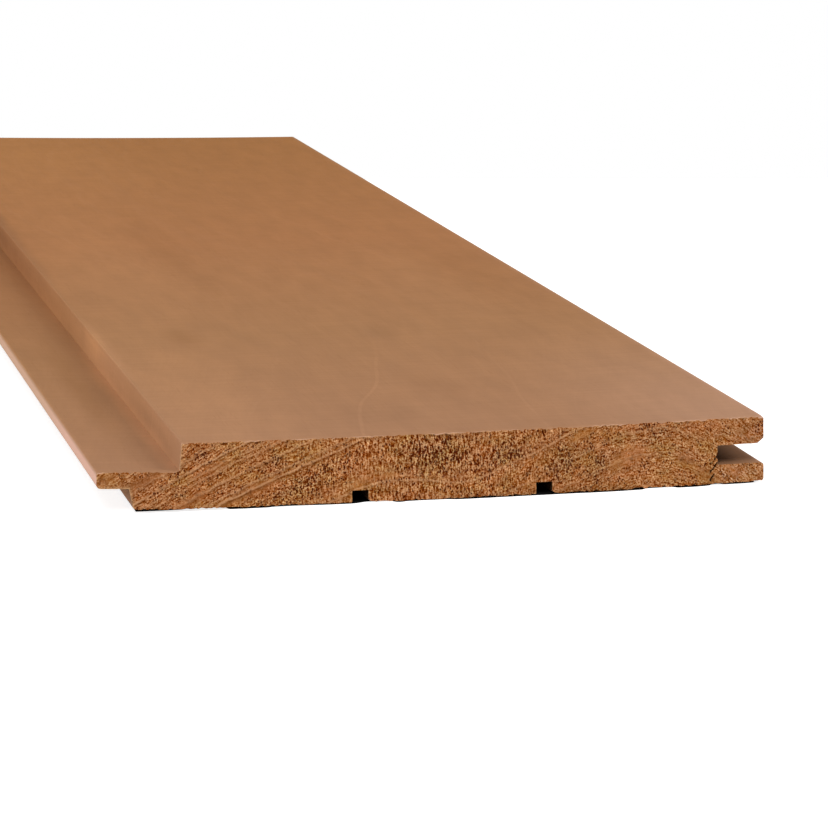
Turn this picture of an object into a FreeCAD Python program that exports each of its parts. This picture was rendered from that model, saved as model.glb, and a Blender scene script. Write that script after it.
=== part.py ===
"""A tongue and groove cladding board: one length of timber, planed and moulded to one section.

The section lies in the XZ plane and the board runs along Y, with its show face up.
X runs from the tongue edge to the groove edge. The origin is the middle of the board's back,
so the board lies on z = 0. All sizes are in millimetres.
"""
import FreeCAD
import Part

import math
import os

# The board
board_length = 1800.0
board_thickness = 18.0
cover_width = 175.5           # from the back shoulder to the lip ends: what one laid board covers

# The tongue, along the left edge
tongue_length = 8.7           # from the back shoulder to the tip
tongue_thickness = 4.7
channel_width = 13.1          # the open channel that shows between two laid boards, at its floor
face_shoulder_slope = 4.5     # degrees: the channel's wall leans back, so that water runs off it
back_shoulder_slope = 14.5    # degrees: the back shoulder is undercut, so that the faces close first

# The groove, along the right edge
face_lip_thickness = 7.5
groove_flare = 0.1            # how much wider the groove is at its mouth than at its root

# The room that a neighbour's tongue has in the groove
clearance_above_tongue = 0.2
clearance_below_tongue = 0.4
clearance_at_tip = 4.5

# The relief grooves in the back, which keep the board flat
relief_count = 2
relief_spacing = 51.0
relief_width = 4.5
relief_depth = 3.3

# The easing of the arrises, as radii
tongue_tip_face_round = 0.5
tongue_tip_back_round = 1.2
lip_arris_round = 0.8
face_arris_round = 0.4
back_arris_round = 0.4
relief_arris_round = 0.35
cutter_corner_round = 0.3     # what the cutters leave in the inside corners

# The bevel that leads a tongue into the groove, along the face lip's inner arris
lead_in_width = 1.7
lead_in_height = 1.35

# A round takes up no more than this share of the shorter side next to it
largest_round_share = 0.45


def groove_section():
    """The heights of the groove's two walls, and its depth, from the tongue that it takes."""
    top = board_thickness - face_lip_thickness
    bottom = top - clearance_above_tongue - tongue_thickness - clearance_below_tongue
    depth = tongue_length + clearance_at_tip
    return bottom, top, depth


def section_corners():
    """The section's corners as (x, z, radius), once round from the foot of the back shoulder.

    They run to the right along the back, up round the groove, to the left along the face,
    and down round the tongue. A corner of radius 0 stays sharp.
    """
    tip_x = -(tongue_length + cover_width) / 2
    lip_x = -tip_x
    shoulder_x = tip_x + tongue_length
    groove_bottom, groove_top, groove_depth = groove_section()
    tongue_top = groove_top - clearance_above_tongue
    tongue_bottom = tongue_top - tongue_thickness
    root_x = lip_x - groove_depth

    undercut = tongue_bottom * math.tan(math.radians(back_shoulder_slope))
    back = [(shoulder_x + undercut, 0, back_arris_round)]
    back += relief_corners((shoulder_x + lip_x) / 2)

    groove = [
        (lip_x, 0, lip_arris_round),
        (lip_x, groove_bottom - groove_flare, lip_arris_round),
        (root_x, groove_bottom, cutter_corner_round),
        (root_x, groove_top, cutter_corner_round),
        (lip_x - lead_in_width, groove_top, 0),
        (lip_x, groove_top + lead_in_height, 0),
        (lip_x, board_thickness, lip_arris_round),
    ]

    channel_x = shoulder_x + channel_width
    lean = (board_thickness - tongue_top) * math.tan(math.radians(face_shoulder_slope))
    channel = [
        (channel_x + lean, board_thickness, face_arris_round),
        (channel_x, tongue_top, cutter_corner_round),
    ]

    tongue = [
        (tip_x, tongue_top, tongue_tip_face_round),
        (tip_x, tongue_bottom, tongue_tip_back_round),
        (shoulder_x, tongue_bottom, cutter_corner_round),
    ]
    return back + groove + channel + tongue


def relief_corners(middle_x):
    """The corners of the relief grooves, evenly spaced about the middle of the cover width."""
    corners = []
    for place in range(relief_count):
        centre = middle_x + (place - (relief_count - 1) / 2) * relief_spacing
        left = centre - relief_width / 2
        right = centre + relief_width / 2
        corners += [
            (left, 0, relief_arris_round),
            (left, relief_depth, cutter_corner_round),
            (right, relief_depth, cutter_corner_round),
            (right, 0, relief_arris_round),
        ]
    return corners


def eased_outline(corners):
    """A closed wire through the corners, each rounded by an arc that is tangent to both its sides."""
    points = [FreeCAD.Vector(x, 0, z) for x, z, radius in corners]
    starts = []
    arcs = []
    ends = []
    for index, (x, z, radius) in enumerate(corners):
        corner = points[index]
        before = points[index - 1] - corner
        after = points[(index + 1) % len(points)] - corner
        half_angle = before.getAngle(after) / 2
        room = largest_round_share * min(before.Length, after.Length)
        setback = min(radius / math.tan(half_angle), room)
        before.normalize()
        after.normalize()
        start = corner + before * setback
        end = corner + after * setback
        starts.append(start)
        ends.append(end)
        if setback > 0:
            arc_radius = setback * math.tan(half_angle)
            inward = before + after
            inward.normalize()
            middle = corner + inward * (arc_radius / math.sin(half_angle) - arc_radius)
            arcs.append(Part.Arc(start, middle, end).toShape())
        else:
            arcs.append(None)
    edges = []
    for index, arc in enumerate(arcs):
        edges.append(Part.LineSegment(ends[index - 1], starts[index]).toShape())
        if arc is not None:
            edges.append(arc)
    return Part.Wire(edges)


def make_board():
    """The section carried along the whole length, with both ends sawn square."""
    section = Part.Face(eased_outline(section_corners()))
    section.translate(FreeCAD.Vector(0, -board_length / 2, 0))
    return section.extrude(FreeCAD.Vector(0, board_length, 0))


os.makedirs("parts", exist_ok=True)
board = make_board()
board.exportStep("parts/board.step")
print("board", board.isValid(), round(board.Volume / 1000, 1), "cm3", board.BoundBox)
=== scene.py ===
"""The looks of a tongue and groove cladding board: a planed length of heat-treated hardwood, sawn across
at its ends.

All sizes are in metres, in the board's own frame: X runs from the tongue edge to the groove edge,
Y along the board, and the show face is up, at the top of Z.
"""

import math

import bpy
import numpy as np
from mathutils import Matrix, Vector


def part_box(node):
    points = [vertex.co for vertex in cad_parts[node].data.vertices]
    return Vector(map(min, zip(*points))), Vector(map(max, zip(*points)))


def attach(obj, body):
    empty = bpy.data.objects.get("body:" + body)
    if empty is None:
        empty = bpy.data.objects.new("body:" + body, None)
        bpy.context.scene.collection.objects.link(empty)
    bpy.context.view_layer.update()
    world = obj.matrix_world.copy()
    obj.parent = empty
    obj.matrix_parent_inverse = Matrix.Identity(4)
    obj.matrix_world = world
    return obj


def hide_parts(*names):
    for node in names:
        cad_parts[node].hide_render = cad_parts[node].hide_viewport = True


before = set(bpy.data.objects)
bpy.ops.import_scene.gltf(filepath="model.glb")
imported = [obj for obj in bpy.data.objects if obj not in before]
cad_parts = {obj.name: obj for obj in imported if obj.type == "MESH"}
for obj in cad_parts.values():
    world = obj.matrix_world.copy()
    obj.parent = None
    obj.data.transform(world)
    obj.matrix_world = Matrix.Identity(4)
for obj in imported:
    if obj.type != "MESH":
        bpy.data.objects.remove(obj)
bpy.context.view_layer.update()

# The board
# One length of heat-treated hardwood, planed and moulded to its section and then cross-cut, so its long
# faces are smooth and its two ends are rough and porous. It has bowed a little since it was moulded.
board_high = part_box("board")[1]
half_width = board_high.x
half_length = board_high.y
thickness = board_high.z
per_metre = 1000.0            # millimetres, in which the wood's grain is laid out

# The section, as the moulder's cutters leave it
shoulder_x = -0.0834          # the back shoulder, under the tongue
tongue_bottom = 0.0056
tongue_top = 0.0103
channel_foot_x = -0.0703      # where the channel's floor meets the face shoulder
face_shoulder_slope = math.radians(4.5)
back_shoulder_slope = math.radians(14.5)
slope_fade = 0.010            # how far into the wood a sloped wall bends the mesh
groove_root_x = 0.0789
groove_bottom = 0.0052
groove_top = 0.0105
groove_flare = 0.0001
lead_in_width = 0.0017
lead_in_height = 0.00135
relief_middles = (-0.02115, 0.02985)
relief_width = 0.0045
relief_depth = 0.0033

# How the board has bowed: the back more than the face, and the thin tongue curling up most
back_low_line = 0.030         # where the back still touches what it lies on
back_rise = (0.00116, 0.00065)     # at the tongue edge and at the groove edge
face_low_line = 0.005
face_sink = 0.00042           # how high the face's lowest line stands over its planed height
face_rise = (0.00080, 0.00060)
tongue_curl = 0.028           # rise over run, out from the channel's foot

# How the saw and the handling have left the ends
end_wear = 0.00022            # how much the ends' upper arrises have worn down
chip_height = 0.00060         # the chip beside each relief groove
chip_reach = 0.0009           # how far that chip spreads along the back
wear_reach = 0.0007           # how far from an arris its wear reaches into the end
wear_run = 0.0008             # how far along the board that wear fades
roughness_run = 0.0018        # how far along the board the end's roughness fades
coarse_tear = 0.00011
fine_tear = 0.00006
pit_tear = 0.00028
crack_reach = 0.0020          # how deep the crack runs into the end
crack_foot_run = 0.0005       # how far from a strand's lower and upper ends it is less deep
crack_head_run = 0.0003
deepest_shade = 0.0008        # the depth at which a pit is in full shade

# The mesh: fine enough for the torn fibres of the ends
step = 0.00042
short_gap = 0.0014
shortest_step = 0.0002
crack_step = 0.00014
nudge = 1e-6                  # settles on which side of a line a point lies


def grid_lines(stops, spacings):
    """Coordinates that pass through every stop: each gap between stops is cut into equal steps, as few as
    keep each step within the gap's spacing."""
    stops = np.asarray(stops, float)
    gaps = np.diff(stops)
    steps = np.ceil(gaps / spacings - nudge).astype(int)
    gap = np.repeat(np.arange(len(gaps)), steps)
    within = np.arange(len(gap)) - np.repeat(np.cumsum(steps) - steps, steps)
    return np.append(stops[gap] + gaps[gap] * within / steps[gap], stops[-1])


def eased_noise(u, v, seed):
    """Smooth noise from -1 to 1: random values on the whole-number points of the (u, v) plane, eased
    between them by 3t^2 - 2t^3."""
    size = 512
    table = np.random.default_rng(seed).uniform(-1.0, 1.0, (size, size))
    column = np.floor(u).astype(int)
    row = np.floor(v).astype(int)
    across = u - column
    up = v - row
    across = across * across * (3.0 - 2.0 * across)
    up = up * up * (3.0 - 2.0 * up)
    left, right = column % size, (column + 1) % size
    lower, upper = row % size, (row + 1) % size
    low = table[left, lower] * (1.0 - across) + table[right, lower] * across
    high = table[left, upper] * (1.0 - across) + table[right, upper] * across
    return low * (1.0 - up) + high * up


def noise_line(u, seed):
    """The same noise along a line."""
    return eased_noise(u, u * 0.0, seed)


# The arrises that are eased: where each is on the square grid, which way it points, and its radius
arrises = [
    (-half_width, tongue_top, -1, 1, 0.0005),
    (-half_width, tongue_bottom, -1, -1, 0.0012),
    (shoulder_x, 0.0, -1, -1, 0.0004),
    (channel_foot_x, thickness, -1, 1, 0.0004),
    (half_width, thickness, 1, 1, 0.0008),
    (half_width, 0.0, 1, -1, 0.0008),
    (half_width, groove_bottom, 1, 1, 0.0008),
]
for middle in relief_middles:
    arrises.append((middle - relief_width / 2, 0.0, 1, -1, 0.00035))
    arrises.append((middle + relief_width / 2, 0.0, -1, -1, 0.00035))

# The crack that the saw started in the groove's root, on the near end: its strands' points as (x, z),
# from the top down, and how wide open each strand is
crack_strands = (
    (((0.07895, 0.0074), (0.07820, 0.0066), (0.07740, 0.0059), (0.07690, 0.0052)), 0.00016),
    (((0.07890, 0.0056), (0.07800, 0.0047), (0.07730, 0.0039), (0.07680, 0.0031)), 0.00014),
    (((0.07770, 0.0024), (0.07710, 0.0015), (0.07690, 0.0006)), 0.00010),
)
crack_left = 0.0760
crack_right = groove_root_x + 0.0002

# Grid lines through every corner of the section, closer together where an arris is rounded
x_stops = {-half_width, shoulder_x, channel_foot_x, groove_root_x, half_width - lead_in_width, half_width}
x_stops.update(x - side * radius for x, z, side, up, radius in arrises)
x_stops.update(middle + side * relief_width / 2 for middle in relief_middles for side in (-1, 1))
x_stops.update((crack_left, crack_right))
x_stops = np.array(sorted(x_stops))
z_stops = {0.0, relief_depth, groove_bottom, tongue_bottom, tongue_top, groove_top, thickness}
z_stops.update(z - up * radius for x, z, side, up, radius in arrises)
z_stops = np.array(sorted(z_stops))


def plain_spacing(stops):
    """The plain step for each gap between stops, and a third of a short gap."""
    gaps = np.diff(stops)
    return np.where(gaps < short_gap, np.maximum(gaps / 3, shortest_step), step)


by_crack = (x_stops[:-1] >= crack_left) & (x_stops[1:] <= crack_right)
grid_x = grid_lines(x_stops, np.where(by_crack, crack_step, plain_spacing(x_stops)))
grid_z = grid_lines(z_stops, plain_spacing(z_stops))

# The squares of the grid that are wood
cell_x, cell_z = np.meshgrid((grid_x[:-1] + grid_x[1:]) / 2, (grid_z[:-1] + grid_z[1:]) / 2)
wood = ~((cell_x < channel_foot_x) & (cell_z > tongue_top))
wood &= ~((cell_x < shoulder_x) & (cell_z < tongue_bottom))
wood &= ~((cell_x > groove_root_x) & (cell_z > groove_bottom) & (cell_z < groove_top))
for middle in relief_middles:
    wood &= ~((np.abs(cell_x - middle) < relief_width / 2) & (cell_z < relief_depth))

# The end's squares, and its outline walked with the wood on the left
columns = len(grid_x)
row, column = np.nonzero(wood)
corner = row * columns + column
end_squares = np.stack([corner, corner + 1, corner + 1 + columns, corner + columns], axis=1)
open_below = wood & ~np.pad(wood, ((1, 0), (0, 0)))[:-1]
open_above = wood & ~np.pad(wood, ((0, 1), (0, 0)))[1:]
open_left = wood & ~np.pad(wood, ((0, 0), (1, 0)))[:, :-1]
open_right = wood & ~np.pad(wood, ((0, 0), (0, 1)))[:, 1:]
outline = []
for opened, start, finish in (
    (open_below, 0, 1),
    (open_right, 1, 1 + columns),
    (open_above, 1 + columns, columns),
    (open_left, columns, 0),
):
    row, column = np.nonzero(opened)
    corner = row * columns + column
    outline.append(np.stack([corner + start, corner + finish], axis=1))
outline = np.concatenate(outline)

used = np.unique(end_squares)
rim = np.unique(outline)
end_squares = np.searchsorted(used, end_squares)
outline = np.searchsorted(rim, outline)
rim_in_end = np.searchsorted(used, rim)
square_x, square_z = np.meshgrid(grid_x, grid_z)
square_x = square_x.ravel()[used]
square_z = square_z.ravel()[used]
rim_x = square_x[rim_in_end]
rim_z = square_z[rim_in_end]


def moulded(x, z):
    """The square section given its real shape: each arris square is pulled onto a quarter circle, by moving
    a point at (a, b) to that direction at distance max(a, b), then the walls lean and the groove flares."""
    new_x = x.copy()
    new_z = z.copy()
    for corner_x, corner_z, side, up, radius in arrises:
        a = ((x - corner_x) * side + radius) / radius
        b = ((z - corner_z) * up + radius) / radius
        near = (a > 0) & (b > 0) & (a <= 1.001) & (b <= 1.001)
        reach = np.hypot(np.where(near, a, 1.0), np.where(near, b, 1.0))
        pull = np.where(near, np.maximum(a, b) / reach, 1.0)
        new_x = np.where(near, corner_x + side * radius * (a * pull - 1.0), new_x)
        new_z = np.where(near, corner_z + up * radius * (b * pull - 1.0), new_z)
    above = np.maximum(z - tongue_top, 0.0)
    fade = np.clip(1.0 - (x - channel_foot_x) / slope_fade, 0.0, 1.0) * (x > channel_foot_x - 0.0001)
    new_x = new_x + math.tan(face_shoulder_slope) * above * fade
    below = np.maximum(tongue_bottom - z, 0.0)
    fade = np.clip(1.0 - (x - shoulder_x) / slope_fade, 0.0, 1.0)
    new_x = new_x + math.tan(back_shoulder_slope) * below * fade
    out_of_groove = np.clip((x - groove_root_x) / (half_width - groove_root_x), 0.0, 1.0)
    flared = new_z * (1.0 - groove_flare * out_of_groove / groove_bottom)
    new_z = np.where(z <= groove_bottom + nudge, flared, new_z)
    bevel = np.clip((x - half_width + lead_in_width) / lead_in_width, 0.0, 1.0) * lead_in_height
    upper_lip = np.clip((thickness - z) / (thickness - groove_top), 0.0, 1.0) * (z >= groove_top - nudge)
    return new_x, new_z + bevel * upper_lip


def bow(x, low_line, rise):
    """How far the section lifts at x, as the square of the way from the low line to each edge, and the
    slope of that curve."""
    reach = np.where(x < low_line, -half_width - low_line, half_width - low_line)
    top = np.where(x < low_line, rise[0], rise[1])
    share = (x - low_line) / reach
    return top * share**2, 2.0 * top * share / reach


def bowed(x, z):
    """A point's place once the board has bowed: it lifts by a mean of the back's bow and the face's, by its
    height, and moves out by its depth below the face times the slope, as the section turns with it."""
    share = np.clip(z / thickness, 0.0, 1.0)
    back, back_slope = bow(x, back_low_line, back_rise)
    face, face_slope = bow(x, face_low_line, face_rise)
    lift = back * (1.0 - share) + (face_sink + face) * share
    slope = back_slope * (1.0 - share) + face_slope * share
    along_tongue = np.maximum(channel_foot_x - x, 0.0)
    lift = lift + tongue_curl * along_tongue
    turn = slope - tongue_curl * (along_tongue > 0)
    return x + turn * (thickness - z), z + lift


def crack_depth(x, z):
    """How deep the crack is at a point of the end: a bell-shaped valley beside each strand's line, broken
    up along it by noise."""
    jagged = 0.00020 * noise_line(z / 0.0006, 3)
    broken = np.clip(0.75 + 1.3 * noise_line(z / 0.0008, 8), 0.0, 1.0)
    deepest = np.zeros_like(x)
    for line, opening in crack_strands:
        line_x, line_z = np.array(line[::-1]).T
        away = (x - np.interp(z, line_z, line_x) - jagged) * 0.75
        from_foot = np.clip((z - line_z[0]) / crack_foot_run, 0.0, 1.0)
        from_head = np.clip((line_z[-1] + crack_head_run - z) / crack_head_run, 0.0, 1.0)
        width = opening * (1.0 + 0.4 * noise_line(z / 0.0009, 5))
        valley = crack_reach * np.exp(-((away / width) ** 2)) * from_foot * from_head * broken
        deepest = np.maximum(deepest, valley)
    return deepest


def sawn_depth(x, z, seed):
    """How far the saw tore below the plane of the end: coarse noise of fibres standing up and down, fine
    noise, and the peaks of a third noise as small pits."""
    coarse = eased_noise(x / 0.0009, z / 0.0021, seed)
    fine = eased_noise(x / 0.00045, z / 0.0007, seed + 1)
    pit = np.clip(eased_noise(x / 0.0006, z / 0.0009, seed + 2) - 0.35, 0.0, 1.0) / 0.65
    return coarse_tear * (1.0 + coarse) + fine_tear * (1.0 + fine) + pit_tear * pit


def torn_arris(x, seed):
    """How much of the arris the saw tore away along an end's top and bottom edges, as a height: the peaks
    of a fine noise, more where a slower noise is high."""
    chips = np.clip(noise_line(x / 0.0007, seed) + 0.30, 0.0, 1.0)
    splinters = np.clip(noise_line(x / 0.0026, seed + 1) + 0.1, 0.0, 1.0)
    return 0.00022 * chips + 0.00030 * splinters * chips


def chipped_relief(x):
    """How much is broken out of the back beside each relief groove's right arris, at an end, as a height
    that falls away exponentially from the arris."""
    chip = np.zeros_like(x)
    for middle in relief_middles:
        beyond = x - middle - relief_width / 2
        chip = np.maximum(chip, np.exp(-np.maximum(beyond, 0.0) / chip_reach) * (beyond > -nudge))
    return chip_height * chip


def worn(x, z, flat_x, flat_z, seed, left):
    """The section with its arrises at an end worn and torn away, by as much as is left at this distance
    from it. flat_x and flat_z are the points' places on the square grid."""
    below_top = np.where(flat_x < channel_foot_x - nudge, tongue_top, thickness) - flat_z
    by_top = np.exp(-np.maximum(below_top, 0.0) / wear_reach) * (below_top > -nudge)
    by_back = np.exp(-flat_z / wear_reach)
    z = z - left * (end_wear + torn_arris(flat_x, seed + 10)) * by_top
    z = z + left * torn_arris(flat_x, seed + 20) * by_back
    return x, z + left**0.2 * chipped_relief(flat_x) * by_back


# Places along the board, as distances from each end: close together by the sawn end, each a fixed ratio
# further than the last, and then evenly spaced over the rest
near_stations = 0.00035 * 1.45 ** np.arange(16)
far_stations = 0.0005 * 1.75 ** np.arange(10)
middle_stations = np.linspace(near_stations[-1] - half_length, half_length - far_stations[-1], 13)[1:-1]


def end_surface(end, seed):
    """One sawn end's points and how deep each lies: the section with its arrises torn and its plane
    roughened. end is -1 for the near end and 1 for the far one."""
    x, z = moulded(square_x, square_z)
    x, z = worn(x, z, square_x, square_z, seed, 1.0)
    depth = sawn_depth(x, z, seed)
    if end < 0:
        depth = depth + crack_depth(x, z)
    x, z = bowed(x, z)
    return np.stack([x, end * (half_length - depth), z], axis=1), depth


def rim_station(distance, end, seed, depth):
    """The outline at a distance from an end: the plain section, with what is left of the end's tearing and
    roughness, which both fade within a millimetre or two."""
    x, z = moulded(rim_x, rim_z)
    x, z = worn(x, z, rim_x, rim_z, seed, math.exp(-distance / wear_run))
    inward = distance + depth[rim_in_end] * math.exp(-distance / roughness_run)
    x, z = bowed(x, z)
    return np.stack([x, end * (half_length - inward), z], axis=1)


near_seed = 40
far_seed = 80
near_points, near_depth = end_surface(-1, near_seed)
far_points, far_depth = end_surface(1, far_seed)
plain_x, plain_z = bowed(*moulded(rim_x, rim_z))
stations = [rim_station(distance, -1, near_seed, near_depth) for distance in near_stations]
stations += [np.stack([plain_x, np.full_like(plain_x, y), plain_z], axis=1) for y in middle_stations]
stations += [rim_station(distance, 1, far_seed, far_depth) for distance in far_stations[::-1]]
points = np.concatenate([near_points, far_points] + stations)

# Faces: the two ends' squares, and the outline's edges carried from station to station
end_count = len(used)
station_index = np.empty((len(stations) + 2, len(rim)), int)
station_index[0] = rim_in_end
station_index[-1] = end_count + rim_in_end
station_index[1:-1] = 2 * end_count + np.arange(len(stations) * len(rim)).reshape(len(stations), len(rim))
first, second = outline.T
here, beyond = station_index[:-1], station_index[1:]
long_faces = np.stack([here[:, second], here[:, first], beyond[:, first], beyond[:, second]], axis=-1)
faces = np.concatenate([end_squares, end_squares[:, ::-1] + end_count, long_faces.reshape(-1, 4)])
sawn_face = np.zeros(len(faces), np.int32)
sawn_face[: 2 * len(end_squares)] = 1

board_mesh = bpy.data.meshes.new("moulded_board")
board_mesh.vertices.add(len(points))
board_mesh.vertices.foreach_set("co", points.astype(np.float32).ravel())
board_mesh.loops.add(faces.size)
board_mesh.loops.foreach_set("vertex_index", faces.ravel().astype(np.int32))
board_mesh.polygons.add(len(faces))
board_mesh.polygons.foreach_set("loop_start", np.arange(0, faces.size, 4, dtype=np.int32))
board_mesh.polygons.foreach_set("material_index", sawn_face)
board_mesh.polygons.foreach_set("use_smooth", np.ones(len(faces), bool))
board_mesh.update(calc_edges=True)
board_mesh.validate()
board_mesh.set_sharp_from_angle(angle=math.radians(40.0))


def set_attribute(name, values):
    """Keeps one number for each of the mesh's points, for the materials to read."""
    attribute = board_mesh.attributes.new(name, "FLOAT", "POINT")
    attribute.data.foreach_set("value", values.astype(np.float32))


# How deep each point lies below the sawn plane, from 0 to 1, by which painted shade darkens the pits and
# the crack
pit = np.zeros(len(points))
pit[:end_count] = near_depth
pit[end_count : 2 * end_count] = far_depth
set_attribute("pit", np.clip(pit / deepest_shade, 0.0, 1.0))

# How pale each point is made, from 0 to 1: near an eased arris, where handling has rubbed the wood paler and
# a painted highlight lies along it. The arris over the channel is hardly paler. The tongue's tip has a
# painted reflection of the white floor up to just below its top, and its top has none.
pale_reach = 0.0007
most_paled = 0.7
least_paled = 0.04
tip_margin = 0.0002
tip_fade = 0.0014
section_x = np.concatenate([square_x, square_x, np.tile(rim_x, len(stations))])
section_z = np.concatenate([square_z, square_z, np.tile(rim_z, len(stations))])
wear_and_highlight = np.zeros(len(points))
for corner_x, corner_z, side, up, radius in arrises:
    if corner_z == tongue_top:
        continue
    share = least_paled if corner_x == channel_foot_x else most_paled
    from_arris = np.hypot(section_x - corner_x, section_z - corner_z)
    wear_and_highlight = np.maximum(wear_and_highlight, share * np.exp(-from_arris / pale_reach))
on_tip = section_x < nudge - half_width
tip_share = np.clip((tongue_top - tip_margin - section_z) / tip_fade, 0.0, 1.0)
wear_and_highlight = np.where(on_tip, tip_share, wear_and_highlight)

# The ends' upright arrises by the shoulders and under the tongue are paler too, with loose fibres and a
# painted highlight, and so are parts of the top arris
shoulder_fringe = 0.0003
tongue_fringe = 0.0004
top_fringe = 0.00025
on_end = np.arange(len(points)) < 2 * end_count
by_face_shoulder = np.exp(-np.abs(section_x - channel_foot_x) / shoulder_fringe) * (section_z > tongue_top)
by_back_shoulder = np.exp(-np.abs(section_x - shoulder_x) / shoulder_fringe) * (section_z < tongue_bottom)
under_tongue = np.exp(-np.abs(section_z - tongue_bottom) / tongue_fringe)
under_tongue = under_tongue * (section_x < shoulder_x + tongue_fringe)
fringe = np.maximum(np.maximum(by_face_shoulder, by_back_shoulder), under_tongue)
top_height = np.where(section_x < channel_foot_x - nudge, tongue_top, thickness)
fibres_left = np.clip(0.45 + 0.9 * noise_line(section_x / 0.0042, 31), 0.0, 0.8)
along_top = np.exp(-np.abs(top_height - section_z) / top_fringe) * fibres_left
fringe = np.maximum(fringe, along_top)
set_attribute("wear_and_highlight", np.where(on_end, np.maximum(0.4 * wear_and_highlight, fringe), wear_and_highlight))

# How the annual rings lie in the section, in millimetres: the height of one ring at each x
ring_shape = (
    (-150.0, -24.0), (-92.0, 0.0), (-60.0, 16.6), (-40.0, 25.2), (-31.0, 28.7), (-25.0, 31.2),
    (-19.0, 33.5), (-12.0, 34.4), (-3.0, 34.1), (6.0, 33.2), (10.0, 33.6), (18.0, 36.7), (28.0, 40.8),
    (37.0, 45.1), (45.0, 48.7), (53.0, 51.8), (59.0, 52.8), (64.0, 53.0), (70.0, 51.3), (78.0, 47.2),
    (92.0, 38.5), (150.0, 10.0),
)
# Where the ends' grain is torn smooth or open, in millimetres: the middle x and z, the reach along the
# rings and across them, how open it is there, from -1 for smooth to 1, and how much paler the wood is
grain_spots = (
    (-66.0, 2.8, 4.0, 1.5, -0.8, -0.16), (-51.5, 3.9, 7.5, 1.0, -1.0, -0.12),
    (-60.0, 11.3, 3.0, 1.4, -0.7, -0.06), (-79.0, 8.0, 8.0, 1.6, -0.7, -0.20),
    (-89.0, 8.2, 3.0, 2.0, -0.4, -0.08), (-21.0, 5.0, 2.6, 1.6, -0.6, 0.02),
    (-14.0, 7.0, 4.0, 0.8, -0.6, 0.06), (40.0, 15.2, 2.4, 0.9, -1.2, 0.12),
    (52.5, 8.8, 5.0, 2.0, -0.9, 0.04), (69.3, 7.0, 2.6, 1.5, -0.8, -0.12),
    (76.5, 1.9, 2.8, 1.7, -0.9, -0.12), (83.0, 3.2, 2.6, 1.4, -0.6, 0.06),
    (86.5, 13.6, 5.0, 2.4, -0.35, -0.05), (-64.0, 14.3, 2.6, 1.4, 0.5, -0.08),
    (-44.5, 11.5, 2.2, 2.4, 0.6, -0.10), (-38.5, 4.3, 6.5, 3.6, 0.5, -0.06),
    (-0.5, 12.5, 10.0, 4.5, 0.7, -0.17), (18.5, 11.5, 4.5, 3.6, 0.6, -0.16),
    (35.0, 8.5, 3.6, 4.5, 0.7, -0.20), (45.3, 7.0, 3.6, 3.2, 0.4, -0.16),
    (61.5, 14.3, 3.6, 2.0, 0.4, -0.10), (-27.0, 10.0, 7.0, 4.0, 0.25, 0.06),
    (9.0, 3.5, 8.0, 3.0, 0.1, 0.10), (60.0, 4.0, 5.0, 2.5, 0.1, 0.10),
    (26.0, 7.0, 3.0, 2.0, 0.0, 0.08), (80.0, 13.0, 4.0, 2.0, -0.1, 0.08),
)
ring_x, ring_height = np.array(ring_shape).T
spot_x = section_x * per_metre
spot_height = section_z * per_metre - np.interp(spot_x, ring_x, ring_height)
open_grain = 0.42 + 0.12 * eased_noise(spot_x / 6.0, spot_height / 2.5, 21)
paleness = 1.0 + 0.05 * eased_noise(spot_x / 5.0, spot_height / 2.0, 22)
for middle_x, middle_z, reach_along, reach_across, openness, paler in grain_spots:
    middle_height = middle_z - np.interp(middle_x, ring_x, ring_height)
    along = (spot_x - middle_x) / reach_along
    across = (spot_height - middle_height) / reach_across
    share = np.exp(-(along**2) - across**2)
    open_grain = open_grain + openness * share
    paleness = paleness + paler * share
set_attribute("open_grain", np.clip(open_grain, 0.0, 1.0))
set_attribute("paleness", paleness)

# How much painted shade darkens the wood, from 0 to 1: far into the groove, on the back shoulder under the
# tongue, on the channel's floor away from the ends, on the face's arris over it, and in the relief grooves,
# darkest there near the ends
groove_run = 0.02             # how far from an end each of these takes to change
channel_run = 0.2
relief_run = 0.03
face_shade_reach = 0.0006
from_end = half_length - np.abs(points[:, 1])
into_groove = np.clip((half_width - section_x) / (half_width - groove_root_x), 0.0, 1.0)
in_groove = (section_x >= groove_root_x) & (section_z >= groove_bottom) & (section_z <= groove_top)
painted_shade = (0.40 + 0.34 * np.clip(from_end / groove_run, 0.0, 1.0)) * into_groove**0.7 * in_groove
on_back_shoulder = (np.abs(section_x - shoulder_x) < nudge) & (section_z <= tongue_bottom)
painted_shade = np.maximum(painted_shade, 0.30 * on_back_shoulder)
channel_floor = (section_x <= channel_foot_x + nudge) & (np.abs(section_z - tongue_top) < nudge)
painted_shade = np.maximum(painted_shade, 0.08 * channel_floor * np.clip(from_end / channel_run, 0.0, 1.0))
from_face_arris = np.hypot(section_x - channel_foot_x, section_z - thickness)
painted_shade = np.maximum(painted_shade, 0.06 * np.exp(-((from_face_arris / face_shade_reach) ** 2)))
for middle in relief_middles:
    in_relief = (np.abs(section_x - middle) <= relief_width / 2 + nudge) & (section_z <= relief_depth + nudge)
    painted_shade = np.maximum(painted_shade, in_relief * (0.35 + 0.6 * np.exp(-from_end / relief_run)))
set_attribute("painted_shade", painted_shade * ~on_end)

board = bpy.data.objects.new("tongue_and_groove_board", board_mesh)
bpy.context.scene.collection.objects.link(board)


def add_node(tree, kind, inputs=None, **settings):
    """Adds a shader node of a kind, with its settings, and sets or links the inputs given by name or
    number."""
    node = tree.nodes.new(kind)
    for name, value in settings.items():
        setattr(node, name, value)
    for name, value in (inputs or {}).items():
        if isinstance(value, bpy.types.NodeSocket):
            tree.links.new(value, node.inputs[name])
        else:
            node.inputs[name].default_value = value
    return node


def maths(tree, operation, *values, clamp=False):
    """A Math node's result, for values that are numbers or sockets."""
    inputs = dict(enumerate(values))
    return add_node(tree, "ShaderNodeMath", inputs, operation=operation, use_clamp=clamp).outputs[0]


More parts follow.
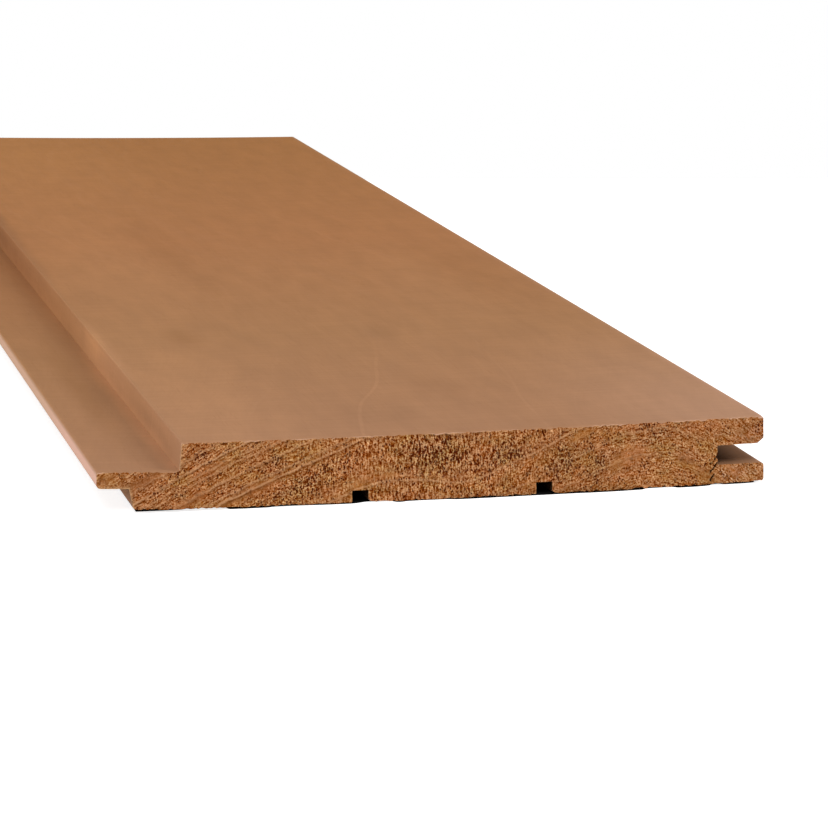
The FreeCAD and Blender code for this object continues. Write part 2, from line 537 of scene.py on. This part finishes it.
def ranged(tree, value, low, high, at_low=0.0, at_high=1.0, way="LINEAR"):
    """A value carried from at_low to at_high as it goes from low to high, and held level beyond them."""
    inputs = {0: value, 1: low, 2: high, 3: at_low, 4: at_high}
    return add_node(tree, "ShaderNodeMapRange", inputs, interpolation_type=way).outputs[0]


def ramp(tree, factor, stops):
    """A Color Ramp's colour, for stops of (place, grey or colour)."""
    node = add_node(tree, "ShaderNodeValToRGB", {"Fac": factor})
    elements = node.color_ramp.elements
    while len(elements) < len(stops):
        elements.new(1.0)
    for element, (place, colour) in zip(elements, stops):
        element.position = place
        element.color = (colour, colour, colour, 1.0) if isinstance(colour, float) else (*colour, 1.0)
    return node.outputs["Color"]


def curve(tree, value, points):
    """A smooth curve through points of (value, result), held level beyond its ends."""
    values, results = np.array(points, float).T
    low, high = float(results.min()), float(results.max())
    share = ranged(tree, value, float(values[0]), float(values[-1]))
    node = add_node(tree, "ShaderNodeFloatCurve", {"Value": share})
    line = node.mapping.curves[0]
    places = (values - values[0]) / (values[-1] - values[0])
    heights = (results - low) / (high - low)
    line.points[0].location = (places[0], heights[0])
    line.points[1].location = (places[-1], heights[-1])
    for place, height in zip(places[1:-1], heights[1:-1]):
        line.points.new(place, height)
    node.mapping.update()
    return ranged(tree, node.outputs[0], 0.0, 1.0, low, high)


def noise(tree, place, detail=2.0, roughness=0.5):
    """A Noise texture's value at a place."""
    inputs = {"Vector": place, "Scale": 1.0, "Detail": detail, "Roughness": roughness}
    return add_node(tree, "ShaderNodeTexNoise", inputs).outputs[0]


def scattered(tree, place):
    """The distance from a place to the nearest of many scattered points."""
    inputs = {"Vector": place, "Scale": 1.0, "Randomness": 1.0}
    return add_node(tree, "ShaderNodeTexVoronoi", inputs).outputs["Distance"]


def stretched(tree, place, x, y, z, shift=(0.0, 0.0, 0.0)):
    """The place in units of x, y and z millimetres, so that a texture on it is that long each way."""
    inputs = {"Vector": place, "Location": shift, "Scale": (1 / x, 1 / y, 1 / z)}
    return add_node(tree, "ShaderNodeMapping", inputs).outputs[0]


def stripe(tree, value, middle, half, soft):
    """1 where the value is within half of the middle, fading to 0 over soft beyond that."""
    away = maths(tree, "ABSOLUTE", maths(tree, "SUBTRACT", value, middle))
    return ranged(tree, away, half, half + soft, 1.0, 0.0, "SMOOTHSTEP")


# The timber's grain, in millimetres: how far the rings drift across the board on their way along it
ring_drift = (
    (-900.0, 0.0), (-884.0, 2.7), (-864.0, 6.6), (-853.0, 9.6), (-838.0, 15.8), (-823.0, 20.6),
    (-799.0, 25.5), (-770.0, 31.5), (-745.0, 34.0), (-600.0, 18.0), (-380.0, -12.0), (-100.0, 14.0),
    (200.0, -20.0), (500.0, 8.0), (900.0, -16.0),
)
# Rings with a pale line: each one's height above the ring through the origin, and how strong its line is
pale_rings = (
    (-43.1, 0.4), (-36.2, 0.6), (-28.6, 0.9), (-27.2, 0.25), (-25.8, 0.25), (-15.4, 0.85), (-13.8, 0.6),
    (-9.6, 0.6), (-6.0, 0.5), (-4.4, 0.5), (-2.0, 1.0), (1.4, 0.5),
)
# How much of each pale ring line is left at each x
ring_shares = (
    (-92.0, 1.0), (-45.0, 1.0), (-25.0, 0.75), (15.0, 0.7), (40.0, 0.8), (66.0, 0.7), (80.0, 0.2),
    (92.0, 0.2),
)
# How much of the end's fibre is torn upright, rather than along the rings, at each x
upright_shares = (
    (-92.0, 0.0), (-52.0, 0.1), (-28.0, 0.75), (0.0, 1.0), (22.0, 0.8), (46.0, 0.25), (92.0, 0.1),
)
fibre_run = 22.0              # how long the fibres, pores and flecks are along the board
pore_run = 14.0

timber = bpy.data.node_groups.new("timber_grain", "ShaderNodeTree")
timber.interface.new_socket("Place", in_out="INPUT", socket_type="NodeSocketVector")
grain_outputs = (
    "Rings", "Troughs", "Bands", "Pores", "Flecks", "Fibres", "Streaks", "Mottle", "Hue", "Figure", "Ripples",
)
for name in grain_outputs:
    timber.interface.new_socket(name, in_out="OUTPUT", socket_type="NodeSocketFloat")
group_in = add_node(timber, "NodeGroupInput")
group_out = add_node(timber, "NodeGroupOutput")
in_millimetres = {0: group_in.outputs[0], 1: (per_metre, per_metre, per_metre)}
place = add_node(timber, "ShaderNodeVectorMath", in_millimetres, operation="MULTIPLY").outputs[0]
across_board, along_board, up_board = add_node(timber, "ShaderNodeSeparateXYZ", {0: place}).outputs

# The height above the ring through the origin: rings that drift, wander and ripple
wander = noise(timber, stretched(timber, place, 26.0, 90.0, 26.0))
wander_width = maths(timber, "MULTIPLY_ADD", ranged(timber, along_board, -890.0, -500.0), 15.0, 1.5)
wander = maths(timber, "MULTIPLY", maths(timber, "SUBTRACT", wander, 0.5), wander_width)
drift = curve(timber, along_board, ring_drift)
across = maths(timber, "SUBTRACT", maths(timber, "SUBTRACT", across_board, drift), wander)
ripple = noise(timber, stretched(timber, place, 3.5, 30.0, 3.5), detail=3.0)
ripple = maths(timber, "MULTIPLY_ADD", ripple, 1.6, -0.8)
height = maths(timber, "SUBTRACT", up_board, curve(timber, across, ring_shape))
height = maths(timber, "ADD", height, ripple)

# Each pale line has a dark trough below it, and both are broken up by slow and by fine noise
pale = 0.0
trough = 0.0
for ring, strength in pale_rings:
    line = maths(timber, "MULTIPLY", stripe(timber, height, ring, 0.10, 0.40), strength)
    pale = maths(timber, "MAXIMUM", line, pale)
    line = maths(timber, "MULTIPLY", stripe(timber, height, ring - 0.6, 0.12, 0.40), strength)
    trough = maths(timber, "MAXIMUM", line, trough)
kept = noise(timber, stretched(timber, place, 11.0, 45.0, 11.0), roughness=0.6)
kept = ranged(timber, kept, 0.34, 0.52, 0.55, 1.0)
kept = maths(timber, "MULTIPLY", kept, curve(timber, across_board, ring_shares))
frayed = noise(timber, stretched(timber, place, 0.9, 30.0, 0.6, shift=(0.7, 0.2, 0.5)), roughness=0.6)
frayed = ranged(timber, frayed, 0.32, 0.52, 0.50, 1.0)
kept = maths(timber, "MULTIPLY", kept, frayed)
timber.links.new(maths(timber, "MULTIPLY", pale, kept), group_out.inputs["Rings"])
timber.links.new(maths(timber, "MULTIPLY", trough, kept), group_out.inputs["Troughs"])
band_place = add_node(timber, "ShaderNodeCombineXYZ", {0: maths(timber, "DIVIDE", height, 1.3)}).outputs[0]
timber.links.new(noise(timber, band_place, detail=3.0, roughness=0.6), group_out.inputs["Bands"])

# Pores and flecks: round dots on the ends and long fine slots on the faces. Each result is higher the nearer
# a place is to the middle of one.
pore_room = noise(timber, stretched(timber, place, 4.0, 60.0, 4.0), detail=1.0)
pore_room = maths(timber, "MULTIPLY_ADD", pore_room, 0.7, -0.35)
pore = scattered(timber, stretched(timber, place, 0.66, pore_run, 1.20))
timber.links.new(maths(timber, "SUBTRACT", pore_room, pore), group_out.inputs["Pores"])
fleck = scattered(timber, stretched(timber, place, 0.80, pore_run, 0.70, shift=(0.4, 0.2, 0.3)))
timber.links.new(maths(timber, "MULTIPLY", fleck, -1.0), group_out.inputs["Flecks"])

# Fibres: fine specks, and streaks that run along the rings or upright
specks = noise(timber, stretched(timber, place, 0.48, fibre_run, 0.52), detail=1.0, roughness=0.6)
timber.links.new(specks, group_out.inputs["Fibres"])
ring_place = {
    0: maths(timber, "DIVIDE", across, 1.8),
    1: maths(timber, "DIVIDE", along_board, fibre_run),
    2: maths(timber, "DIVIDE", height, 0.45),
}
along_ring = noise(timber, add_node(timber, "ShaderNodeCombineXYZ", ring_place).outputs[0], roughness=0.6)
upright = noise(timber, stretched(timber, place, 0.50, fibre_run, 2.0), detail=1.0)
upright_share = curve(timber, across_board, upright_shares)
turn = maths(timber, "MULTIPLY", maths(timber, "SUBTRACT", upright, along_ring), upright_share)
timber.links.new(maths(timber, "ADD", along_ring, turn), group_out.inputs["Streaks"])
mottle = noise(timber, stretched(timber, place, 2.6, 9.0, 2.6), detail=3.0, roughness=0.6)
timber.links.new(mottle, group_out.inputs["Mottle"])
hue = noise(timber, stretched(timber, place, 7.0, 30.0, 4.5, shift=(0.1, 0.5, 0.9)))
timber.links.new(hue, group_out.inputs["Hue"])

# Two rings that come out at the face as thin pale lines near the end, and the ripples of the planer's knives
near_share = ranged(timber, along_board, -820.0, -740.0, 1.0, 0.0)
first_line = stripe(timber, maths(timber, "SUBTRACT", across_board, drift), -20.3, 0.25, 0.55)
second_line = stripe(timber, maths(timber, "MULTIPLY_ADD", drift, -0.40, across_board), 31.2, 0.2, 0.5)
second_line = maths(timber, "MULTIPLY", second_line, 0.5)
figure = maths(timber, "MULTIPLY", maths(timber, "MAXIMUM", first_line, second_line), near_share)
timber.links.new(maths(timber, "MULTIPLY", figure, kept), group_out.inputs["Figure"])
knife_place = stretched(timber, place, 22.0, 2.2, 22.0, shift=(0.3, 0.7, 0.1))
timber.links.new(noise(timber, knife_place, detail=3.0, roughness=0.6), group_out.inputs["Ripples"])


def mixed(tree, kind, factor, a, b):
    """Two colours mixed in one of the Mix node's ways."""
    node = add_node(tree, "ShaderNodeMix", data_type="RGBA", blend_type=kind, clamp_factor=True)
    for number, value in ((0, factor), (6, a), (7, b)):
        if isinstance(value, bpy.types.NodeSocket):
            tree.links.new(value, node.inputs[number])
        else:
            node.inputs[number].default_value = value if number == 0 else (*value, 1.0)
    return node.outputs[2]


def shaded(tree, colour, factor, stops):
    """A colour multiplied by a ramp's colour."""
    return mixed(tree, "MULTIPLY", 1.0, colour, ramp(tree, factor, stops))


def new_material(name, roughness, specular):
    """A material with one Principled shader, and the timber's grain read at the piece's own coordinates."""
    material = bpy.data.materials.new(name)
    material.use_nodes = True
    tree = material.node_tree
    tree.nodes.clear()
    finish = {"Roughness": roughness, "Specular IOR Level": specular}
    surface = add_node(tree, "ShaderNodeBsdfPrincipled", finish)
    add_node(tree, "ShaderNodeOutputMaterial", {"Surface": surface.outputs[0]})
    where = add_node(tree, "ShaderNodeTexCoord").outputs["Object"]
    grain = tree.nodes.new("ShaderNodeGroup")
    grain.node_tree = timber
    tree.links.new(where, grain.inputs["Place"])
    return material, tree, surface, grain.outputs, where


def point_value(tree, name):
    """A number that the mesh keeps for each point."""
    return add_node(tree, "ShaderNodeAttribute", attribute_name=name).outputs["Fac"]


def soft_patch(tree, place, middle, reach):
    """1 at the middle, in metres, fading to 0 at the reach away from it along each axis."""
    scale = [1.0 / length for length in reach]
    shift = [-centre / length for centre, length in zip(middle, reach)]
    inputs = {"Vector": place, "Location": shift, "Scale": scale}
    away = add_node(tree, "ShaderNodeMapping", inputs).outputs[0]
    away = add_node(tree, "ShaderNodeVectorMath", {0: away}, operation="LENGTH").outputs["Value"]
    return ranged(tree, away, 0.0, 1.0, 1.0, 0.0, "SMOOTHSTEP")


def tinted(tree, place, colour, tints):
    """A colour multiplied by each tint within its soft patch."""
    for middle, reach, tint in tints:
        colour = mixed(tree, "MULTIPLY", soft_patch(tree, place, middle, reach), colour, tint)
    return colour


# The planed wood's brown along the board, greyer towards the near end, and the paler browns of its worn
# arrises with their painted highlights, and of the painted reflection on the tongue's tip
near_brown = -0.90
far_brown = -0.25
browns = [
    (0.0, (0.385, 0.196, 0.103)),
    (0.25, (0.384, 0.190, 0.086)),
    (0.55, (0.409, 0.180, 0.072)),
    (1.0, (0.402, 0.175, 0.058)),
]
worn_and_lit_browns = [(0.09, (0.77, 0.472, 0.368)), (0.17, (0.67, 0.422, 0.298))]

# Where the planed wood is tinted: the middle, the reach each way, and the tint. On the face most are the
# wood's own blotches; the others paint sheen, shade and highlights, as marked
planed_tints_and_painted_light = (
    ((-0.056, -0.850, 0.018), (0.030, 0.190, 0.005), (1.13, 1.13, 1.11)),
    # A painted sheen near the groove edge of the near end
    ((0.092, -0.890, 0.018), (0.065, 0.170, 0.006), (1.15, 1.24, 1.43)),
    ((-0.042, -0.260, 0.018), (0.080, 0.300, 0.006), (1.12, 1.14, 1.17)),
    ((-0.045, -0.580, 0.018), (0.034, 0.200, 0.006), (1.07, 1.09, 1.11)),
    ((-0.020, -0.560, 0.018), (0.011, 0.150, 0.006), (0.93, 0.92, 0.90)),
    ((0.076, -0.640, 0.018), (0.024, 0.110, 0.006), (0.95, 0.93, 0.89)),
    ((0.055, -0.640, 0.018), (0.022, 0.120, 0.006), (1.04, 1.05, 1.06)),
    ((0.018, -0.740, 0.018), (0.009, 0.022, 0.006), (0.91, 0.91, 0.92)),
    ((-0.043, -0.740, 0.018), (0.009, 0.024, 0.006), (0.88, 0.86, 0.83)),
    ((0.016, -0.835, 0.018), (0.012, 0.035, 0.006), (0.95, 0.94, 0.93)),
    ((-0.010, -0.872, 0.018), (0.020, 0.030, 0.006), (0.95, 0.95, 0.95)),
    # Painted shade and painted light on the channel's floor by the shoulder wall
    ((-0.0805, -0.785, 0.0105), (0.0075, 0.125, 0.004), (0.86, 0.83, 0.77)),
    ((-0.0715, -0.830, 0.0105), (0.0040, 0.150, 0.004), (1.16, 1.14, 1.12)),
    # Painted highlights on the shoulder wall, near its top arris
    ((-0.0695, -0.752, 0.0150), (0.0045, 0.085, 0.011), (1.20, 1.21, 1.28)),
    ((-0.0700, -0.738, 0.0170), (0.0035, 0.030, 0.006), (1.16, 1.15, 1.10)),
    # Painted shade on the shoulder wall and on the channel's floor further along
    ((-0.0695, -0.420, 0.0152), (0.0060, 0.300, 0.010), (0.67, 0.69, 0.78)),
    ((-0.0810, -0.500, 0.0105), (0.0120, 0.220, 0.004), (0.88, 0.89, 0.91)),
)

# The planed faces: smooth and evenly brown, with soft blotches and faint fibres
planed, tree, surface, grain, place = new_material("planed_timber", 0.70, 0.02)
along = add_node(tree, "ShaderNodeSeparateXYZ", {0: place}).outputs[1]
along = ranged(tree, along, near_brown, far_brown)
# The tints paint sheen, shade and highlights where their table marks them
colour = tinted(tree, place, ramp(tree, along, browns), planed_tints_and_painted_light)
pale_ring = maths(tree, "MULTIPLY", grain["Rings"], 0.05)
colour = mixed(tree, "MIX", pale_ring, colour, (0.56, 0.31, 0.17))
colour = mixed(tree, "MULTIPLY", grain["Figure"], colour, (1.13, 1.14, 1.16))
colour = shaded(tree, colour, grain["Hue"], [(0.30, (0.955, 0.955, 0.96)), (0.70, (1.045, 1.045, 1.04))])
colour = shaded(tree, colour, grain["Ripples"], [(0.30, (0.97, 0.97, 0.965)), (0.70, (1.03, 1.03, 1.035))])
colour = shaded(tree, colour, grain["Streaks"], [(0.30, (0.985, 0.98, 0.975)), (0.70, (1.012, 1.016, 1.02))])
pores = maths(tree, "DIVIDE", maths(tree, "ADD", grain["Pores"], 0.22), 0.16, clamp=True)
colour = mixed(tree, "MULTIPLY", maths(tree, "MULTIPLY", pores, 0.10), colour, (0.5, 0.42, 0.34))
# Paler where arrises are worn, with painted highlights on them and a painted reflection on the tongue's tip
pale_share = maths(tree, "MULTIPLY", point_value(tree, "wear_and_highlight"), 0.85)
colour = mixed(tree, "MIX", pale_share, colour, ramp(tree, along, worn_and_lit_browns))
# Painted shade, nearly black, in the groove, the relief grooves, on the back shoulder and along the channel
colour = mixed(tree, "MIX", point_value(tree, "painted_shade"), colour, (0.030, 0.011, 0.001))
tree.links.new(colour, surface.inputs["Base Color"])
surface_height = maths(tree, "MULTIPLY_ADD", grain["Streaks"], 0.5, maths(tree, "MULTIPLY", pores, -0.4))
bump = add_node(tree, "ShaderNodeBump", {"Height": surface_height, "Strength": 0.12, "Distance": 0.0002})
tree.links.new(bump.outputs[0], surface.inputs["Normal"])

# Tints for the near end's sawn wood, listed the same way, and the shades of its fibres and grain
sawn_tints = (
    ((0.086, -0.900, 0.003), (0.015, 0.020, 0.006), (1.03, 1.16, 1.40)),
    ((0.088, -0.900, 0.014), (0.014, 0.020, 0.007), (0.97, 1.04, 1.24)),
    ((0.060, -0.900, 0.010), (0.036, 0.020, 0.016), (1.0, 1.05, 1.14)),
    ((-0.083, -0.900, 0.008), (0.014, 0.020, 0.006), (0.92, 0.91, 0.93)),
)
fibre_browns = [
    (0.25, (0.125, 0.012, 0.0)),
    (0.39, (0.275, 0.072, 0.006)),
    (0.50, (0.420, 0.157, 0.048)),
    (0.78, (0.77, 0.43, 0.21)),
]
band_shades = [(0.32, (0.84, 0.80, 0.74)), (0.50, (1.0, 1.0, 1.0)), (0.68, (1.17, 1.22, 1.30))]
mottle_shades = [(0.30, (0.79, 0.76, 0.72)), (0.70, (1.21, 1.24, 1.28))]
hue_shades = [(0.32, (1.03, 0.97, 1.0)), (0.50, (1.0, 1.0, 1.0)), (0.68, (0.98, 1.05, 0.92))]

# The sawn ends: open pores, torn fibres, and the rings plain to see
sawn, tree, surface, grain, place = new_material("sawn_timber", 0.85, 0.0)
opened = point_value(tree, "open_grain")
speck_gain = maths(tree, "MULTIPLY_ADD", opened, 1.35, 0.36)
specks = maths(tree, "MULTIPLY", maths(tree, "SUBTRACT", grain["Fibres"], 0.5), speck_gain)
streak_gain = maths(tree, "MULTIPLY_ADD", opened, 1.3, 0.42)
fibres = maths(tree, "MULTIPLY_ADD", maths(tree, "SUBTRACT", grain["Streaks"], 0.5), streak_gain, specks)
smooth_by_ring = maths(tree, "MULTIPLY_ADD", grain["Rings"], -0.4, 1.0)
fibres = maths(tree, "MULTIPLY_ADD", fibres, smooth_by_ring, 0.5)
colour = ramp(tree, fibres, fibre_browns)
colour = shaded(tree, colour, grain["Bands"], band_shades)
colour = shaded(tree, colour, grain["Mottle"], mottle_shades)
colour = shaded(tree, colour, grain["Hue"], hue_shades)
colour = tinted(tree, place, colour, sawn_tints)
paler = point_value(tree, "paleness")
paler = add_node(tree, "ShaderNodeCombineXYZ", {0: paler, 1: paler, 2: paler}).outputs[0]
colour = mixed(tree, "MULTIPLY", 1.0, colour, paler)
flecks = maths(tree, "MULTIPLY_ADD", opened, 0.18, maths(tree, "ADD", grain["Flecks"], 0.16))
flecks = maths(tree, "DIVIDE", flecks, 0.14, clamp=True)
colour = mixed(tree, "MIX", maths(tree, "MULTIPLY", flecks, 0.45), colour, (0.82, 0.48, 0.26))
colour = mixed(tree, "MIX", maths(tree, "MULTIPLY", grain["Rings"], 0.70), colour, (0.69, 0.385, 0.20))
colour = mixed(tree, "MIX", maths(tree, "MULTIPLY", grain["Troughs"], 0.6), colour, (0.16, 0.042, 0.004))
pores = maths(tree, "MULTIPLY_ADD", opened, 0.32, maths(tree, "ADD", grain["Pores"], 0.12))
pores = maths(tree, "DIVIDE", pores, 0.14, clamp=True)
colour = mixed(tree, "MIX", maths(tree, "MULTIPLY", pores, 0.9), colour, (0.085, 0.007, 0.0))
# Painted shade in the deep pits and the crack
painted_pit_shade = ramp(tree, point_value(tree, "pit"), [(0.35, 0.0), (0.95, 1.0)])
colour = mixed(tree, "MIX", painted_pit_shade, colour, (0.012, 0.004, 0.001))
# Paler where the end's arrises are worn and frayed, with a painted highlight on them
pale_share = maths(tree, "MULTIPLY", point_value(tree, "wear_and_highlight"), 0.75)
colour = mixed(tree, "MIX", pale_share, colour, (0.66, 0.40, 0.20))
tree.links.new(colour, surface.inputs["Base Color"])
surface_height = maths(tree, "MULTIPLY_ADD", pores, -0.8, maths(tree, "MULTIPLY", fibres, 0.9))
bump = add_node(tree, "ShaderNodeBump", {"Height": surface_height, "Strength": 0.9, "Distance": 0.00030})
tree.links.new(bump.outputs[0], surface.inputs["Normal"])

board_mesh.materials.append(planed)
board_mesh.materials.append(sawn)
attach(board, "root")
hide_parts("board")

# The studio floor
# A broad white sheet that the board lies on. It shows white to the camera and still takes the board's
# shadow. Under the board it is painted nearly black as a painted shadow, and does not glow there.
floor_half = 6.0
floor_corners = floor_half * np.array([(-1, -1, 0), (1, -1, 0), (1, 1, 0), (-1, 1, 0)])
floor_mesh = bpy.data.meshes.new("white_floor")
floor_mesh.from_pydata(floor_corners, [], [(0, 1, 2, 3)])
floor = bpy.data.objects.new("white_floor", floor_mesh)
bpy.context.scene.collection.objects.link(floor)

# How much of the painted shadow shows below the near end at each x: it is broken where the arris is frayed
shadow_heights = (
    (-0.0834, 0.00011), (-0.0700, 0.00010), (-0.0670, -0.0002), (-0.0580, -0.0002), (-0.0565, 0.00038),
    (-0.0470, 0.00032), (-0.0440, 0.00014), (-0.0240, 0.00018), (-0.0180, -0.0002), (-0.0125, -0.0001),
    (-0.0105, 0.00028), (-0.0080, 0.00012), (0.0020, 0.00010), (0.0060, 0.00026), (0.0270, 0.00020),
    (0.0400, 0.00022), (0.0430, 0.00026), (0.0570, 0.00024), (0.0590, 0.0), (0.0660, 0.0),
    (0.0680, 0.00032), (0.0765, 0.00030), (0.0785, 0.0), (0.0800, 0.0), (0.0815, 0.00026),
    (0.0906, 0.00014),
)
shadow_slope = 0.21           # fall over run of the view there
shadow_left = shoulder_x + 0.0017
shadow_right = half_width - 0.0015
shadow_far = half_length - 0.004
lit_white = 0.60
painted_shadow_white = 0.01
floor_glow = 0.80


def seen_plainly(tree):
    """1 for the camera's own rays and those off a glossy or through a clear surface, and 0 for the rest."""
    path = add_node(tree, "ShaderNodeLightPath")
    seen = maths(tree, "MAXIMUM", path.outputs["Is Camera Ray"], path.outputs["Is Glossy Ray"])
    return maths(tree, "MAXIMUM", seen, path.outputs["Is Transmission Ray"])


floor_material = bpy.data.materials.new("white_floor")
floor_material.use_nodes = True
tree = floor_material.node_tree
tree.nodes.clear()
where = add_node(tree, "ShaderNodeTexCoord").outputs["Object"]
spot_x, spot_y, spot_z = add_node(tree, "ShaderNodeSeparateXYZ", {0: where}).outputs
# The painted shadow begins nearer the camera where the bow lifts the end less
line_x, shown = np.array(shadow_heights).T
line_y = -half_length + (bow(line_x, back_low_line, back_rise)[0] - shown) / shadow_slope
near_line = curve(tree, spot_x, list(zip(line_x, line_y)))
past_near_end = maths(tree, "GREATER_THAN", spot_y, near_line)
short_of_far_end = maths(tree, "LESS_THAN", spot_y, shadow_far)
past_left = maths(tree, "GREATER_THAN", spot_x, shadow_left)
short_of_right = maths(tree, "LESS_THAN", spot_x, shadow_right)
between_ends = maths(tree, "MULTIPLY", past_near_end, short_of_far_end)
between_sides = maths(tree, "MULTIPLY", past_left, short_of_right)
open_floor = maths(tree, "SUBTRACT", 1.0, maths(tree, "MULTIPLY", between_ends, between_sides))
# Nearly black under the board as painted shadow, and white elsewhere
whiteness = maths(tree, "MULTIPLY_ADD", open_floor, lit_white - painted_shadow_white, painted_shadow_white)
glow = maths(tree, "MULTIPLY", maths(tree, "MULTIPLY", seen_plainly(tree), open_floor), floor_glow)
sheet = add_node(tree, "ShaderNodeBsdfDiffuse", {"Color": whiteness})
shine = add_node(tree, "ShaderNodeEmission", {"Color": (1.0, 1.0, 1.0, 1.0), "Strength": glow})
both = add_node(tree, "ShaderNodeAddShader", {0: sheet.outputs[0], 1: shine.outputs[0]})
add_node(tree, "ShaderNodeOutputMaterial", {"Surface": both.outputs[0]})
floor_mesh.materials.append(floor_material)

# The light
# A plain bright room, brighter overhead, that shows white to the camera. Three broad soft lamps stand to the
# right, in front and low on the left, and they shade the open channel and light the tongue's tip.
low_light = 0.12
high_light = 0.42
world = bpy.data.worlds.new("bright_room")
bpy.context.scene.world = world
world.use_nodes = True
tree = world.node_tree
tree.nodes.clear()
seen = seen_plainly(tree)
direction = add_node(tree, "ShaderNodeTexCoord").outputs["Generated"]
upward = add_node(tree, "ShaderNodeSeparateXYZ", {0: direction}).outputs[2]
dome = ranged(tree, upward, 0.0, 0.6, low_light, high_light, "SMOOTHSTEP")
strength = maths(tree, "MULTIPLY_ADD", seen, maths(tree, "SUBTRACT", 1.0, dome), dome)
background = add_node(tree, "ShaderNodeBackground", {"Color": (1.0, 1.0, 1.0, 1.0), "Strength": strength})
add_node(tree, "ShaderNodeOutputWorld", {"Surface": background.outputs[0]})


def soft_lamp(name, where, towards, size, power):
    """A square lamp of a size and power that faces a point."""
    data = bpy.data.lights.new(name, "AREA")
    data.shape = "SQUARE"
    data.size = size
    data.energy = power
    lamp = bpy.data.objects.new(name, data)
    facing = (Vector(towards) - Vector(where)).to_track_quat("-Z", "Y")
    lamp.matrix_world = Matrix.Translation(where) @ facing.to_matrix().to_4x4()
    bpy.context.scene.collection.objects.link(lamp)


soft_lamp("right_lamp", (1.9, -1.9, 1.7), (0.0, -0.6, 0.0), 1.2, 26.0)
soft_lamp("front_lamp", (-0.6, -2.6, 2.0), (0.0, -0.7, 0.0), 1.4, 34.0)
soft_lamp("left_lamp", (-2.4, -0.9, 0.55), (0.0, -0.6, 0.0), 1.0, 26.0)

# The camera
# A long lens in front of the near end, to the left and a little above. The photograph's own frame cuts the
# board off at a level line, so the camera sees no further than the depth where the face crosses that line.
image_size = 828.0
focal_pixels = 3592.0
sensor_width = 36.0
camera_place = Vector((-0.2200, -1.8216, 0.2108))
turn_right = math.radians(13.04)
turn_down = math.radians(11.18)
crop_row = 138.0
camera_data = bpy.data.cameras.new("camera")
camera_data.sensor_width = sensor_width
camera_data.lens = focal_pixels / image_size * sensor_width
face_height = thickness + face_sink
slant = math.sin(turn_down) - (image_size / 2 - crop_row) / focal_pixels * math.cos(turn_down)
camera_data.clip_start = 0.05
camera_data.clip_end = (camera_place.z - face_height) / slant
camera = bpy.data.objects.new("camera", camera_data)
turn = Matrix.Rotation(-turn_right, 4, "Z") @ Matrix.Rotation(math.pi / 2 - turn_down, 4, "X")
camera.matrix_world = Matrix.Translation(camera_place) @ turn
bpy.context.scene.collection.objects.link(camera)
bpy.context.scene.camera = camera
bpy.context.scene.view_settings.view_transform = "Standard"
